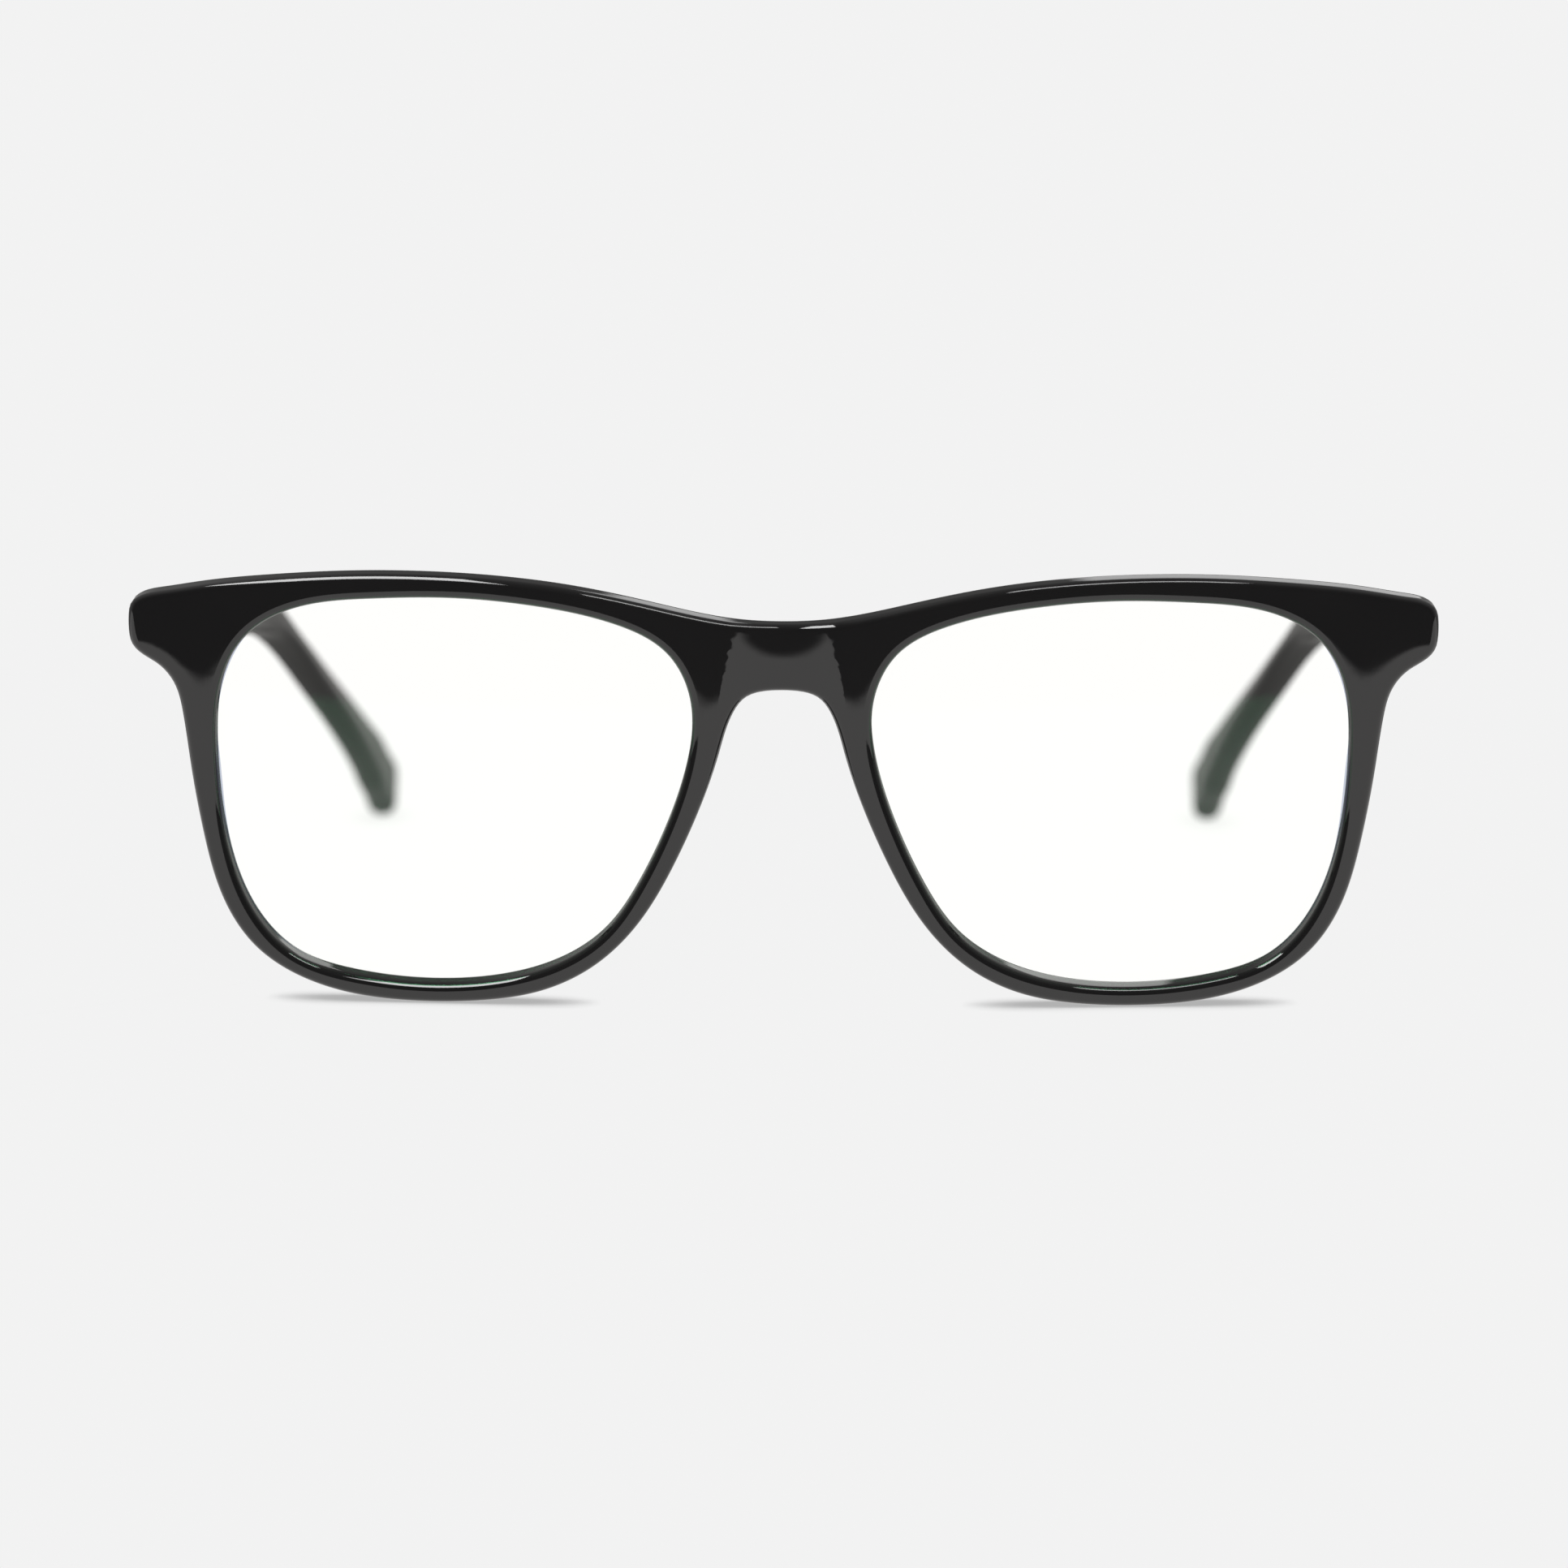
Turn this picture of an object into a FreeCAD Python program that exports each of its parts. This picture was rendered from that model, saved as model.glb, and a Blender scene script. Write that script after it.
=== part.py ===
"""Acetate glasses with plano lenses and spring hinges, standing open on a flat surface.

Row frame, millimetres: +X towards the wearer's left, +Y from the front back to the temple
tips, +Z up. The origin is the middle of the footprint, on the surface that the glasses rest on.

Front parts are drawn upright in the front frame (x across, y back, z up from the lowest rim
edge) and lean forward together. Temple parts are drawn in the temple frame, whose Y runs along
the straight blade from its hinge end. The wearer's left side is drawn; the right is its mirror.
"""
import FreeCAD, Part
import math
import os

V = FreeCAD.Vector
MARGIN = 5.0  # how far cutting shapes reach beyond what they cut

DIMENSIONS = [
    ("half_width", 70.1, "middle of the bridge to the outside of an end piece"),
    ("front_depth", 10.0, "foremost point of the front to the flat back of an end piece"),
    ("rim_depth", 4.0, "thickness of the rims and bridge, front to back"),
    ("face_radius", 420.0, "plan radius that the front is bent to"),
    ("lean", 3.0, "forward lean of the front when it stands, degrees"),
    ("half_footprint", 72.64, "middle of the footprint to the foremost point of the front frame"),
    ("lift", -0.115, "height of the front frame's zero above the surface"),
    ("bridge_scoop_radius", 25.0, "radius of the shallow scoop down the bridge"),
    ("bridge_scoop_depth", 0.75, "depth of that scoop"),
    ("front_edge_round", 0.75, "rounding of the front's foremost edges"),
    ("block_start", 61.8, "where the thicker end piece starts, from the middle"),
    ("block_bottom", 35.9, "underside of the thicker end piece"),
    ("lens_centre_x", 35.3, "middle of a lens from the middle of the bridge"),
    ("lens_centre_z", 22.7, "middle of a lens above the lowest rim edge"),
    ("lens_radius", 265.0, "front curve of a plano base-2 lens"),
    ("lens_thickness", 1.9, "lens thickness"),
    ("lens_blank_radius", 31.0, "radius of the round blank that a lens is edged from"),
    ("lens_engagement", 0.6, "how far a lens reaches into its rim"),
    ("lens_bevel", 0.55, "bevel along both edges of a lens"),
    ("lens_forward", 0.75, "middle of a lens ahead of the middle of its rim"),
    ("seat_clearance", 0.05, "space between a lens and its groove"),
    ("pad_length", 15.0, "length of a nose pad"),
    ("pad_width", 2.0, "width of a nose pad"),
    ("pad_back", 8.3, "rear of a nose pad behind the foremost point of the front"),
    ("pad_x", 10.1, "middle of a nose pad, across"),
    ("pad_z", 21.6, "middle of a nose pad, up"),
    ("pad_angle", 21.0, "slope of a nose pad from upright, degrees"),
    ("pad_round", 0.9, "rounding of a nose pad's rear edge"),
    ("hinge_x", 63.9, "hinge axis from the middle"),
    ("hinge_y", 11.6, "hinge axis behind the foremost point of the front"),
    ("hinge_z", 39.2, "middle of the hinge above the lowest rim edge"),
    ("barrel_radius", 1.3, "outside radius of the hinge barrels"),
    ("front_barrel_length", 1.5, "length of each of the two front barrels"),
    ("slider_barrel_length", 1.9, "length of the single barrel between them"),
    ("barrel_play", 0.05, "space between neighbouring barrels"),
    ("plate_width", 5.0, "hinge plate across"),
    ("plate_start", 62.0, "inner edge of the hinge plate from the middle"),
    ("plate_thickness", 1.0, "hinge plate, sunk flush into the end piece"),
    ("screw_radius", 0.7, "shank of the hinge screw"),
    ("screw_clearance", 0.03, "radial running clearance on the screw"),
    ("screw_head_radius", 1.15, "head of the hinge screw"),
    ("screw_head_height", 0.6, "head of the hinge screw"),
    ("screw_slot", 0.3, "width and depth of the driver slot"),
    ("blade_x", 68.1, "middle of the temple's hinge end from the middle of the front"),
    ("blade_gap", 0.3, "space between an end piece and the middle of an open temple"),
    ("blade_thickness", 3.6, "temple thickness along the straight blade"),
    ("blade_depth_hinge", 4.8, "temple height at the hinge"),
    ("blade_depth_ear", 4.4, "temple height where the ear bend starts"),
    ("blade_slope", 5.0, "downward slope of the open blade, degrees"),
    ("blade_yaw", 4.2, "inward slope of the open blade, degrees"),
    ("blade_length", 58.0, "straight, flat-sided stretch of the temple"),
    ("blade_edge_round", 1.0, "rounding of the temple's long edges"),
    ("tip_edge_round", 1.65, "rounding of the paddle's long edges near the tip"),
    ("bend_start", 62.0, "start of the ear bend along the temple"),
    ("bend_length", 25.5, "length of the ear bend"),
    ("bend_drop", 21.695, "downward bend behind the ear, degrees"),
    ("bend_inward", 7.0, "inward bend behind the ear, degrees"),
    ("bend_twist", 32.0, "inward twist of the temple's upper edge through the ear bend, degrees"),
    ("tip_start", 100.7, "where the paddle starts to turn upright again, along the temple"),
    ("tip_return", 8.4, "how far the tip turns back outward, degrees"),
    ("temple_length", 147.0, "length of the temple along its middle"),
    ("tip_depth", 7.6, "height of the paddle near the tip"),
    ("tip_thickness", 3.6, "thickness of the paddle near the tip"),
    ("tip_rounding", 5.0, "length over which the tip rounds off"),
    ("paddle_ramp", 30.0, "length over which the temple widens into its paddle"),
    ("wire_radius", 0.6, "radius of the steel core wire"),
    ("wire_start", 22.0, "front end of the core wire along the temple"),
    ("wire_end", 134.0, "rear end of the core wire along the temple"),
    ("wire_bend_share", 0.85, "share of the ear bend's tangent length that the wire's arc takes"),
    ("seat_play", 0.02, "space between the housing and its seat in the temple"),
    ("housing_start", 2.0, "spring housing behind the hinge axis"),
    ("housing_length", 13.2, "spring housing"),
    ("housing_width", 3.0, "spring housing across"),
    ("housing_height", 3.5, "spring housing, upright"),
    ("housing_round", 0.4, "rounding of the housing's long edges"),
    ("housing_offset", 0.1, "inner side of the housing outward of the hinge axis"),
    ("housing_wall", 1.0, "front wall of the housing, which the spring bears on"),
    ("housing_bore_radius", 1.15, "bore that holds the spring"),
    ("housing_bore_length", 11.2, "length of that bore"),
    ("rod_radius", 0.6, "rod of the sliding hinge half"),
    ("rod_end", 13.0, "rear end of the rod behind the hinge axis"),
    ("rod_clearance", 0.05, "radial running clearance on the rod"),
    ("neck_height", 1.5, "neck between the single barrel and the rod"),
    ("neck_side", 0.6, "inner side of the neck from the hinge axis"),
    ("neck_start", 0.75, "front end of the neck behind the hinge axis"),
    ("neck_gap", 0.1, "space between the neck and the housing"),
    ("rod_start", 1.0, "front end of the rod behind the hinge axis"),
    ("stop_length", 1.4, "collar that holds the spring on the rod"),
    ("stop_radius", 1.05, "collar that holds the spring on the rod"),
    ("spring_wire", 0.3, "diameter of the spring's wire"),
    ("spring_coil_radius", 0.85, "middle radius of the spring's coils"),
    ("spring_coils", 9.0, "number of coils"),
    ("spring_gap", 0.02, "space at each end of the spring"),
]

# Half of the front's outline, across and up, from the top of the bridge round to its underside.
HALF_OUTLINE = [(0, 41.5), (4.5, 41.7), (9, 42.4), (14, 43.5), (22, 45.1), (30, 46.05), (39, 46.45),
                (47, 46.3), (55, 45.7), (62, 44.85), (66.5, 44.05), (68.9, 43.4), (69.8, 42.65),
                (70.1, 41.4), (70.1, 39.7), (69.75, 38.2), (68.8, 37.2), (67, 36.1), (65.2, 34),
                (64.35, 31), (63.5, 25), (62.2, 17.6), (60.15, 10.6), (56.7, 5.5), (51, 2),
                (45, 0.45), (39, 0), (32, 0.25), (26, 1.35), (20.3, 4.1), (15.6, 8.6),
                (11.4, 15.6), (8.75, 21.6), (6.7, 27.6), (5.3, 31.8), (3.9, 33.6), (1.9, 34.25),
                (0, 34.35)]

# Opening of a rim at its front edge, across and up, anticlockwise from the temple side.
LENS_OPENING = [(60.8, 27), (60, 34.8), (57.3, 39.5), (52.5, 42.4), (44, 43.75), (35.3, 44),
                (26.5, 43.3), (18, 41.5), (12.2, 38.3), (9.7, 33), (9.9, 27.5), (12.2, 19.8),
                (15.4, 13), (19, 7.9), (24, 4.5), (30.3, 2.6), (38, 2), (46.5, 2.85),
                (52.6, 4.95), (56.9, 9.5), (59.6, 16.5)]


def make_sheet(doc):
    """Write every driving dimension as a plain number with an alias and a note."""
    sheet = doc.addObject("Spreadsheet::Sheet", "Dimensions")
    for row, (alias, value, note) in enumerate(DIMENSIONS, start=1):
        sheet.set(f"A{row}", alias)
        sheet.set(f"B{row}", str(value))
        sheet.setAlias(f"B{row}", alias)
        sheet.set(f"C{row}", note)
    doc.recompute()
    return sheet


def bind(feature, **expressions):
    """Tie a feature's sizes to expressions over the dimension sheet."""
    for name, expression in expressions.items():
        feature.setExpression(name, expression)


# ---------------------------------------------------------------- frames

def front_frame_placement(sheet):
    """Where the front frame sits in the row frame: leaning forward about its lowest edge."""
    lean = FreeCAD.Rotation(V(1, 0, 0), sheet.lean)
    return FreeCAD.Placement(V(0, -sheet.half_footprint, sheet.lift), lean)


def hinge_centre(sheet):
    """Middle of the left hinge in the front frame."""
    return V(sheet.hinge_x, sheet.hinge_y, sheet.hinge_z)


def temple_placement(sheet):
    """Where the left temple frame sits in the row frame when the temple is open."""
    end = V(sheet.blade_x, sheet.front_depth + sheet.blade_gap, sheet.hinge_z)
    base = front_frame_placement(sheet).multVec(end)
    yaw = FreeCAD.Rotation(V(0, 0, 1), sheet.blade_yaw)
    slope = FreeCAD.Rotation(V(1, 0, 0), -sheet.blade_slope)
    return FreeCAD.Placement(base, yaw.multiply(slope))


def hinge_in_temple(sheet):
    """Middle of the left hinge in the temple frame."""
    point = front_frame_placement(sheet).multVec(hinge_centre(sheet))
    return temple_placement(sheet).inverse().multVec(point)


# ---------------------------------------------------------------- drawing helpers

def origin_plane(body, role):
    """The named origin plane of a body."""
    return next(item for item in body.Origin.OriginFeatures if item.Role == role)


def new_body(doc, name, placement):
    """An empty body in the given frame."""
    body = doc.addObject("PartDesign::Body", name)
    body.Placement = placement
    return body


def new_sketch(body, name, role, offset=None):
    """A sketch on one of the body's origin planes, moved by an offset if one is given."""
    sketch = body.newObject("Sketcher::SketchObject", name)
    sketch.AttachmentSupport = (origin_plane(body, role), "")
    sketch.MapMode = "FlatFace"
    if offset is not None:
        sketch.AttachmentOffset = offset
    return sketch


def polygon(sketch, corners):
    """A closed run of straight lines."""
    for start, end in zip(corners, corners[1:] + corners[:1]):
        sketch.addGeometry(Part.LineSegment(V(*start, 0), V(*end, 0)))


def rounded_rectangle(sketch, width, height, radius, centre=(0.0, 0.0)):
    """A rectangle with rounded corners about a centre."""
    half_x, half_y = width / 2 - radius, height / 2 - radius
    for turn, (sign_x, sign_y) in enumerate([(1, 1), (-1, 1), (-1, -1), (1, -1)]):
        middle = V(centre[0] + sign_x * half_x, centre[1] + sign_y * half_y, 0)
        circle = Part.Circle(middle, V(0, 0, 1), radius)
        start = turn * math.pi / 2
        sketch.addGeometry(Part.ArcOfCircle(circle, start, start + math.pi / 2))
        along = V(math.cos(start + math.pi / 2), math.sin(start + math.pi / 2), 0)
        run = 2 * (half_x if turn % 2 == 0 else half_y)
        step = V(-along.y, along.x, 0) * run
        sketch.addGeometry(Part.LineSegment(middle + along * radius, middle + along * radius + step))


def closed_curve(points, pieces):
    """A smooth closed curve through points, handed over as a run of joined pieces."""
    spline = Part.BSplineCurve()
    spline.interpolate(Points=[V(*p, 0) for p in points], PeriodicFlag=True)
    knots = spline.getKnots()
    cuts = [knots[round(i * (len(knots) - 1) / pieces)] for i in range(pieces + 1)]
    run = []
    for start, end in zip(cuts, cuts[1:]):
        piece = spline.copy()
        piece.segment(start, end)
        run.append(piece)
    return run


def grown(points, distance):
    """Points of a closed anticlockwise outline moved outward by a distance."""
    moved = []
    for before, (x, y), after in zip(points[-1:] + points[:-1], points, points[1:] + points[:1]):
        along_x, along_y = after[0] - before[0], after[1] - before[1]
        size = math.hypot(along_x, along_y)
        moved.append((x + distance * along_y / size, y - distance * along_x / size))
    return moved


def front_outline():
    """The front's closed outline: the half outline and its mirror image."""
    mirrored = [(-x, z) for x, z in reversed(HALF_OUTLINE[1:-1])]
    return closed_curve(HALF_OUTLINE + mirrored, 12)


def arc_about(centre_y, radius, half_width):
    """Arc bulging towards -y, symmetric about x = 0, with its ends at the half width."""
    reach = math.asin(half_width / radius)
    circle = Part.Circle(V(0, centre_y, 0), V(0, 0, 1), radius)
    return Part.ArcOfCircle(circle, -math.pi / 2 - reach, -math.pi / 2 + reach)


def arc_depth(centre_y, radius, x):
    """Depth of such an arc at a distance across."""
    return centre_y - math.sqrt(radius ** 2 - x ** 2)


def edges_where(shape, test):
    """Names of the edges of a shape that pass a test."""
    return [f"Edge{i}" for i, edge in enumerate(shape.Edges, start=1) if test(edge)]


def add_fillet(doc, body, name, radius, test):
    """Round the tip's edges that pass a test, with a radius from the sheet."""
    doc.recompute()
    base = body.Tip
    fillet = body.newObject("PartDesign::Fillet", name)
    fillet.Base = (base, edges_where(base.Shape, test))
    bind(fillet, Radius=f"Dimensions.{radius}")
    doc.recompute()
    return fillet


# ---------------------------------------------------------------- front

def bend_sketch(body, sheet, name, radius, half_width, reach):
    """Plan region between a bent face and a straight line, drawn just below the front."""
    below = FreeCAD.Placement(V(0, 0, -MARGIN), FreeCAD.Rotation())
    sketch = new_sketch(body, name, "XY_Plane", below)
    edge = arc_depth(sheet.face_radius, radius, half_width)
    sketch.addGeometry(arc_about(sheet.face_radius, radius, half_width))
    corners = [(half_width, edge), (half_width, reach), (-half_width, reach), (-half_width, edge)]
    for start, end in zip(corners, corners[1:]):
        sketch.addGeometry(Part.LineSegment(V(*start, 0), V(*end, 0)))
    return sketch


def cut_upward(body, name, sketch, length):
    """Pocket a plan sketch upward."""
    pocket = body.newObject("PartDesign::Pocket", name)
    pocket.Profile = sketch
    pocket.Reversed = True
    bind(pocket, Length=length)
    return pocket


def front_blank(doc, sheet):
    """The milled and bent front before its lens grooves and hinge seats are cut."""
    body = new_body(doc, "front_blank", front_frame_placement(sheet))
    outline = new_sketch(body, "outline", "XZ_Plane")
    for piece in front_outline():
        outline.addGeometry(piece)
    slab = body.newObject("PartDesign::Pad", "slab")
    slab.Profile = outline
    slab.Reversed = True
    bind(slab, Length="Dimensions.front_depth")

    openings = new_sketch(body, "lens_openings", "XZ_Plane")
    mirrored = [(-x, z) for x, z in reversed(LENS_OPENING)]
    for piece in closed_curve(LENS_OPENING, 4) + closed_curve(mirrored, 4):
        openings.addGeometry(piece)
    cut = body.newObject("PartDesign::Pocket", "lens_cut")
    cut.Profile = openings
    cut.Type = "ThroughAll"

    full_height = "Dimensions.lens_centre_z * 3"
    outside, rear = sheet.half_width + MARGIN, sheet.front_depth + MARGIN
    rim_back = sheet.face_radius - sheet.rim_depth
    face_plan = bend_sketch(body, sheet, "face_plan", sheet.face_radius, outside, -MARGIN)
    cut_upward(body, "face_bend", face_plan, full_height)
    back_plan = bend_sketch(body, sheet, "back_plan", rim_back, sheet.block_start, rear)
    cut_upward(body, "back_bend", back_plan, full_height)
    below = FreeCAD.Placement(V(0, 0, -MARGIN), FreeCAD.Rotation())
    under = new_sketch(body, "block_plan", "XY_Plane", below)
    for side in (1, -1):
        near, far = side * sheet.block_start, side * outside
        start, end = sorted((math.asin(near / rim_back), math.asin(far / rim_back)))
        circle = Part.Circle(V(0, sheet.face_radius, 0), V(0, 0, 1), rim_back)
        under.addGeometry(Part.ArcOfCircle(circle, start - math.pi / 2, end - math.pi / 2))
        corners = [(near, arc_depth(sheet.face_radius, rim_back, near)), (near, rear), (far, rear),
                   (far, arc_depth(sheet.face_radius, rim_back, far))]
        for first, second in zip(corners, corners[1:]):
            under.addGeometry(Part.LineSegment(V(*first, 0), V(*second, 0)))
    cut_upward(body, "below_blocks", under, f"Dimensions.block_bottom + {MARGIN}")

    scoop_plan = new_sketch(body, "bridge_scoop_plan", "XY_Plane")
    centre = sheet.bridge_scoop_depth - sheet.bridge_scoop_radius
    scoop_plan.addGeometry(Part.Circle(V(0, centre, 0), V(0, 0, 1), sheet.bridge_scoop_radius))
    cut_upward(body, "bridge_scoop", scoop_plan, full_height)
    doc.recompute()
    return body


def on_face(sheet, edge, slack):
    """Whether an edge lies on the front's bent face or in the bridge scoop."""
    first, last = edge.FirstParameter, edge.LastParameter
    for share in (0.1, 0.5, 0.9):
        point = edge.valueAt(first + share * (last - first))
        depth = point.y - arc_depth(sheet.face_radius, sheet.face_radius, point.x)
        if not -slack <= depth <= sheet.bridge_scoop_depth + slack:
            return False
    return True


def round_front(doc, sheet, body):
    """Round the front's foremost edges, round the outside and round both openings."""
    slack, shortest = 0.02, 3.0
    add_fillet(doc, body, "front_edges", "front_edge_round",
               lambda edge: edge.Length > shortest and on_face(sheet, edge, slack))
    return body


def lens_body(doc, sheet, name, clearance):
    """A lens edged to the rim's outline, or the same shape with clearance as its seat."""
    centre_x, centre_z = sheet.lens_centre_x, sheet.lens_centre_z
    wrap = math.asin(centre_x / sheet.face_radius)
    middle = arc_depth(sheet.face_radius, sheet.face_radius, centre_x) + sheet.rim_depth / 2
    crown = sheet.lens_thickness / 2 + clearance
    place = FreeCAD.Placement(V(centre_x, middle - sheet.lens_forward * math.cos(wrap), centre_z),
                              FreeCAD.Rotation(V(0, 0, 1), math.degrees(wrap)))
    body = new_body(doc, name, front_frame_placement(sheet).multiply(place))

    profile = new_sketch(body, name + "_meridian", "XY_Plane")
    reach = sheet.lens_blank_radius
    front_radius = sheet.lens_radius
    back_radius = front_radius - 2 * crown
    centre = front_radius - crown
    front_edge = arc_depth(centre, front_radius, reach)
    back_edge = arc_depth(centre, back_radius, reach)
    for radius in (front_radius, back_radius):
        circle = Part.Circle(V(0, centre, 0), V(0, 0, 1), radius)
        turn = math.asin(reach / radius)
        profile.addGeometry(Part.ArcOfCircle(circle, -math.pi / 2, -math.pi / 2 + turn))
    profile.addGeometry(Part.LineSegment(V(reach, front_edge, 0), V(reach, back_edge, 0)))
    profile.addGeometry(Part.LineSegment(V(0, -crown, 0), V(0, crown, 0)))
    blank = body.newObject("PartDesign::Revolution", name + "_blank")
    blank.Profile = profile
    blank.ReferenceAxis = (origin_plane(body, "Y_Axis"), [""])
    blank.Angle = 360
    doc.recompute()

    shape = [((x - centre_x) / math.cos(wrap), z - centre_z) for x, z in LENS_OPENING]
    edging = new_sketch(body, name + "_outline", "XZ_Plane")
    for piece in closed_curve(grown(shape, sheet.lens_engagement + clearance), 4):
        edging.addGeometry(piece)
    edging.addGeometry(Part.Circle(V(0, 0, 0), V(0, 0, 1), reach + 2))
    cut = body.newObject("PartDesign::Pocket", name + "_edging")
    cut.Profile = edging
    cut.Type = "ThroughAll"
    cut.Midplane = True
    doc.recompute()

    base = body.Tip
    bevel = body.newObject("PartDesign::Chamfer", name + "_bevel")
    bevel.Base = (base, edges_where(base.Shape, lambda edge: edge.Length > 10))
    bind(bevel, Size="Dimensions.lens_bevel")
    doc.recompute()
    return body


def nose_pad(doc, sheet):
    """A slim round-ended pad bonded to the back of the nasal rim."""
    body = new_body(doc, "nose_pad_left", front_frame_placement(sheet))
    oval = new_sketch(body, "pad_outline", "XZ_Plane")
    radius, lean = sheet.pad_width / 2, math.radians(sheet.pad_angle)
    along = V(-math.sin(lean), math.cos(lean), 0)
    across = V(along.y, -along.x, 0) * radius
    middle = V(sheet.pad_x, sheet.pad_z, 0)
    reach = along * (sheet.pad_length / 2 - radius)
    for end in (1, -1):
        centre = middle + reach * end
        near, crown, far = across * end, along * radius * end, across * -end
        oval.addGeometry(Part.Arc(centre + near, centre + crown, centre + far))
        oval.addGeometry(Part.LineSegment(centre + far, middle - reach * end + far))
    pad = body.newObject("PartDesign::Pad", "pad_column")
    pad.Profile = oval
    pad.Reversed = True
    bind(pad, Length="Dimensions.pad_back")
    doc.recompute()

    plan = bend_sketch(body, sheet, "pad_base_plan", sheet.face_radius - sheet.rim_depth,
                       sheet.block_start, -MARGIN)
    cut_upward(body, "pad_base", plan, "Dimensions.lens_centre_z * 3")
    back = sheet.pad_back
    add_fillet(doc, body, "pad_edge", "pad_round", lambda edge: abs(edge.CenterOfMass.y - back) < 0.01)
    body.Label = "nose_pad_left"
    return body


# ---------------------------------------------------------------- hinge

def cylinder(doc, name, placement, radius, height):
    """A cylinder whose sizes are expressions over the sheet."""
    item = doc.addObject("Part::Cylinder", name)
    bind(item, Radius=radius, Height=height)
    item.Placement = placement
    return item


def box(doc, name, placement, length, width, height):
    """A box whose sizes are expressions over the sheet."""
    item = doc.addObject("Part::Box", name)
    bind(item, Length=length, Width=width, Height=height)
    item.Placement = placement
    return item


def at(frame, x, y, z, rotation=None):
    """A placement at a point of a frame."""
    return frame.multiply(FreeCAD.Placement(V(x, y, z), rotation or FreeCAD.Rotation()))


def join(doc, name, parts):
    """Fuse several objects."""
    fusion = doc.addObject("Part::MultiFuse", name)
    fusion.Shapes = parts
    return fusion


def cut_away(doc, name, base, tool):
    """Cut one object out of another."""
    result = doc.addObject("Part::Cut", name)
    result.Base = base
    result.Tool = tool
    return result


def plate_box(doc, sheet, name):
    """The sunk plate of the front hinge half, also the shape of its seat."""
    frame = front_frame_placement(sheet)
    half = sheet.slider_barrel_length / 2 + sheet.barrel_play + sheet.front_barrel_length
    corner = at(frame, sheet.plate_start, sheet.front_depth - sheet.plate_thickness,
                sheet.hinge_z - half)
    tall = "Dimensions.slider_barrel_length + 2 * (Dimensions.barrel_play + Dimensions.front_barrel_length)"
    return box(doc, name, corner, "Dimensions.plate_width", "Dimensions.plate_thickness", tall)


def hinge_front(doc, sheet):
    """Sunk plate with two barrels; the screw runs free in the upper and is threaded in the lower."""
    frame = front_frame_placement(sheet)
    inner = sheet.slider_barrel_length / 2 + sheet.barrel_play
    lows = {"upper": sheet.hinge_z + inner, "lower": sheet.hinge_z - inner - sheet.front_barrel_length}
    parts = [plate_box(doc, sheet, "hinge_plate")]
    for place, low in lows.items():
        parts.append(cylinder(doc, f"front_barrel_{place}", at(frame, sheet.hinge_x, sheet.hinge_y, low),
                              "Dimensions.barrel_radius", "Dimensions.front_barrel_length"))
        corner = at(frame, sheet.hinge_x - sheet.barrel_radius, sheet.front_depth, low)
        parts.append(box(doc, f"front_arm_{place}", corner, "2 * Dimensions.barrel_radius",
                         "Dimensions.hinge_y - Dimensions.front_depth", "Dimensions.front_barrel_length"))
    solid = join(doc, "hinge_front_solid", parts)
    free = cylinder(doc, "hinge_free_hole", at(frame, sheet.hinge_x, sheet.hinge_y, sheet.hinge_z),
                    "Dimensions.screw_radius + Dimensions.screw_clearance", "10 * Dimensions.screw_radius")
    tight = cylinder(doc, "hinge_thread_hole",
                     at(frame, sheet.hinge_x, sheet.hinge_y, sheet.hinge_z - 10 * sheet.screw_radius),
                     "Dimensions.screw_radius", "10 * Dimensions.screw_radius")
    return cut_away(doc, "hinge_front_left", solid, join(doc, "hinge_front_holes", [free, tight]))


def hinge_screw(doc, sheet):
    """Slotted screw that joins the barrels."""
    frame = front_frame_placement(sheet)
    half = sheet.slider_barrel_length / 2 + sheet.barrel_play + sheet.front_barrel_length
    top = sheet.hinge_z + half
    shank = cylinder(doc, "screw_shank", at(frame, sheet.hinge_x, sheet.hinge_y, sheet.hinge_z - half),
                     "Dimensions.screw_radius",
                     "Dimensions.slider_barrel_length"
                     " + 2 * (Dimensions.barrel_play + Dimensions.front_barrel_length)")
    head = cylinder(doc, "screw_head", at(frame, sheet.hinge_x, sheet.hinge_y, top),
                    "Dimensions.screw_head_radius", "Dimensions.screw_head_height")
    corner = at(frame, sheet.hinge_x - 2 * sheet.screw_head_radius, sheet.hinge_y - sheet.screw_slot / 2,
                top + sheet.screw_head_height - sheet.screw_slot)
    slot = box(doc, "screw_slot", corner, "4 * Dimensions.screw_head_radius", "Dimensions.screw_slot",
               "2 * Dimensions.screw_slot")
    return cut_away(doc, "hinge_screw_left", join(doc, "screw_solid", [shank, head]), slot)


def rod_line(sheet):
    """Across and upright position of the slider's rod in the temple frame."""
    hinge = hinge_in_temple(sheet)
    return hinge.x + sheet.housing_offset + sheet.housing_width / 2, hinge.z


BACKWARD = FreeCAD.Rotation(V(1, 0, 0), -90)


def along_rod(sheet, behind_hinge):
    """Placement on the rod's line whose own Z runs backward along the temple."""
    x, z = rod_line(sheet)
    y = hinge_in_temple(sheet).y + behind_hinge
    return at(temple_placement(sheet), x, y, z, BACKWARD)


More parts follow.
